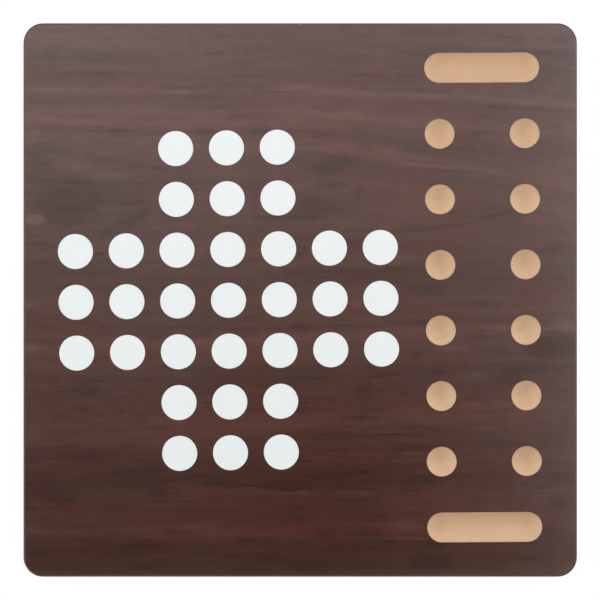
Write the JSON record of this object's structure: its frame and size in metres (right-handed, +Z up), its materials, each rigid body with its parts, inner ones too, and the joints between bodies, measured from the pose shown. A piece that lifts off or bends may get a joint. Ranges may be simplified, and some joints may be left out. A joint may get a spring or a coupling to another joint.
{
  "type": "solitaire and mancala board",
  "caption": "Square dark wood-grain game board with a cross of flush white discs for solitaire, and round dishes between long stores for mancala, on rubber feet.",
  "frame": {"origin": "on the table top, under the middle of the board", "axes": "+Z up, +X to the right towards the mancala field, +Y to the back edge"},
  "size_m": [0.55, 0.55, 0.0256],
  "materials": {
    "fibreboard": "bare routed fibreboard",
    "face_laminate": "satin wood-grain laminate",
    "backing_laminate": "plain matt laminate",
    "edge_band": "satin plastic edging",
    "white_disc": "satin white",
    "foot_rubber": "matt black",
    "plated_steel": "zinc plated"
  },
  "bodies": {
    "root": {"core_board": "fibreboard", "top_laminate": "face_laminate", "underside_laminate": "backing_laminate", "edge_band": "edge_band", "spot_c1": "white_disc", "spot_d1": "white_disc", "spot_e1": "white_disc", "spot_c2": "white_disc", "spot_d2": "white_disc", "spot_e2": "white_disc", "spot_a3": "white_disc", "spot_b3": "white_disc", "spot_c3": "white_disc", "spot_d3": "white_disc", "spot_e3": "white_disc", "spot_f3": "white_disc", "spot_g3": "white_disc", "spot_a4": "white_disc", "spot_b4": "white_disc", "spot_c4": "white_disc", "spot_d4": "white_disc", "spot_e4": "white_disc", "spot_f4": "white_disc", "spot_g4": "white_disc", "spot_a5": "white_disc", "spot_b5": "white_disc", "spot_c5": "white_disc", "spot_d5": "white_disc", "spot_e5": "white_disc", "spot_f5": "white_disc", "spot_g5": "white_disc", "spot_c6": "white_disc", "spot_d6": "white_disc", "spot_e6": "white_disc", "spot_c7": "white_disc", "spot_d7": "white_disc", "spot_e7": "white_disc", "foot_front_left": "foot_rubber", "foot_front_right": "foot_rubber", "foot_back_left": "foot_rubber", "foot_back_right": "foot_rubber", "foot_washers": "plated_steel", "foot_screws": "plated_steel"}
  },
  "joints": []
}
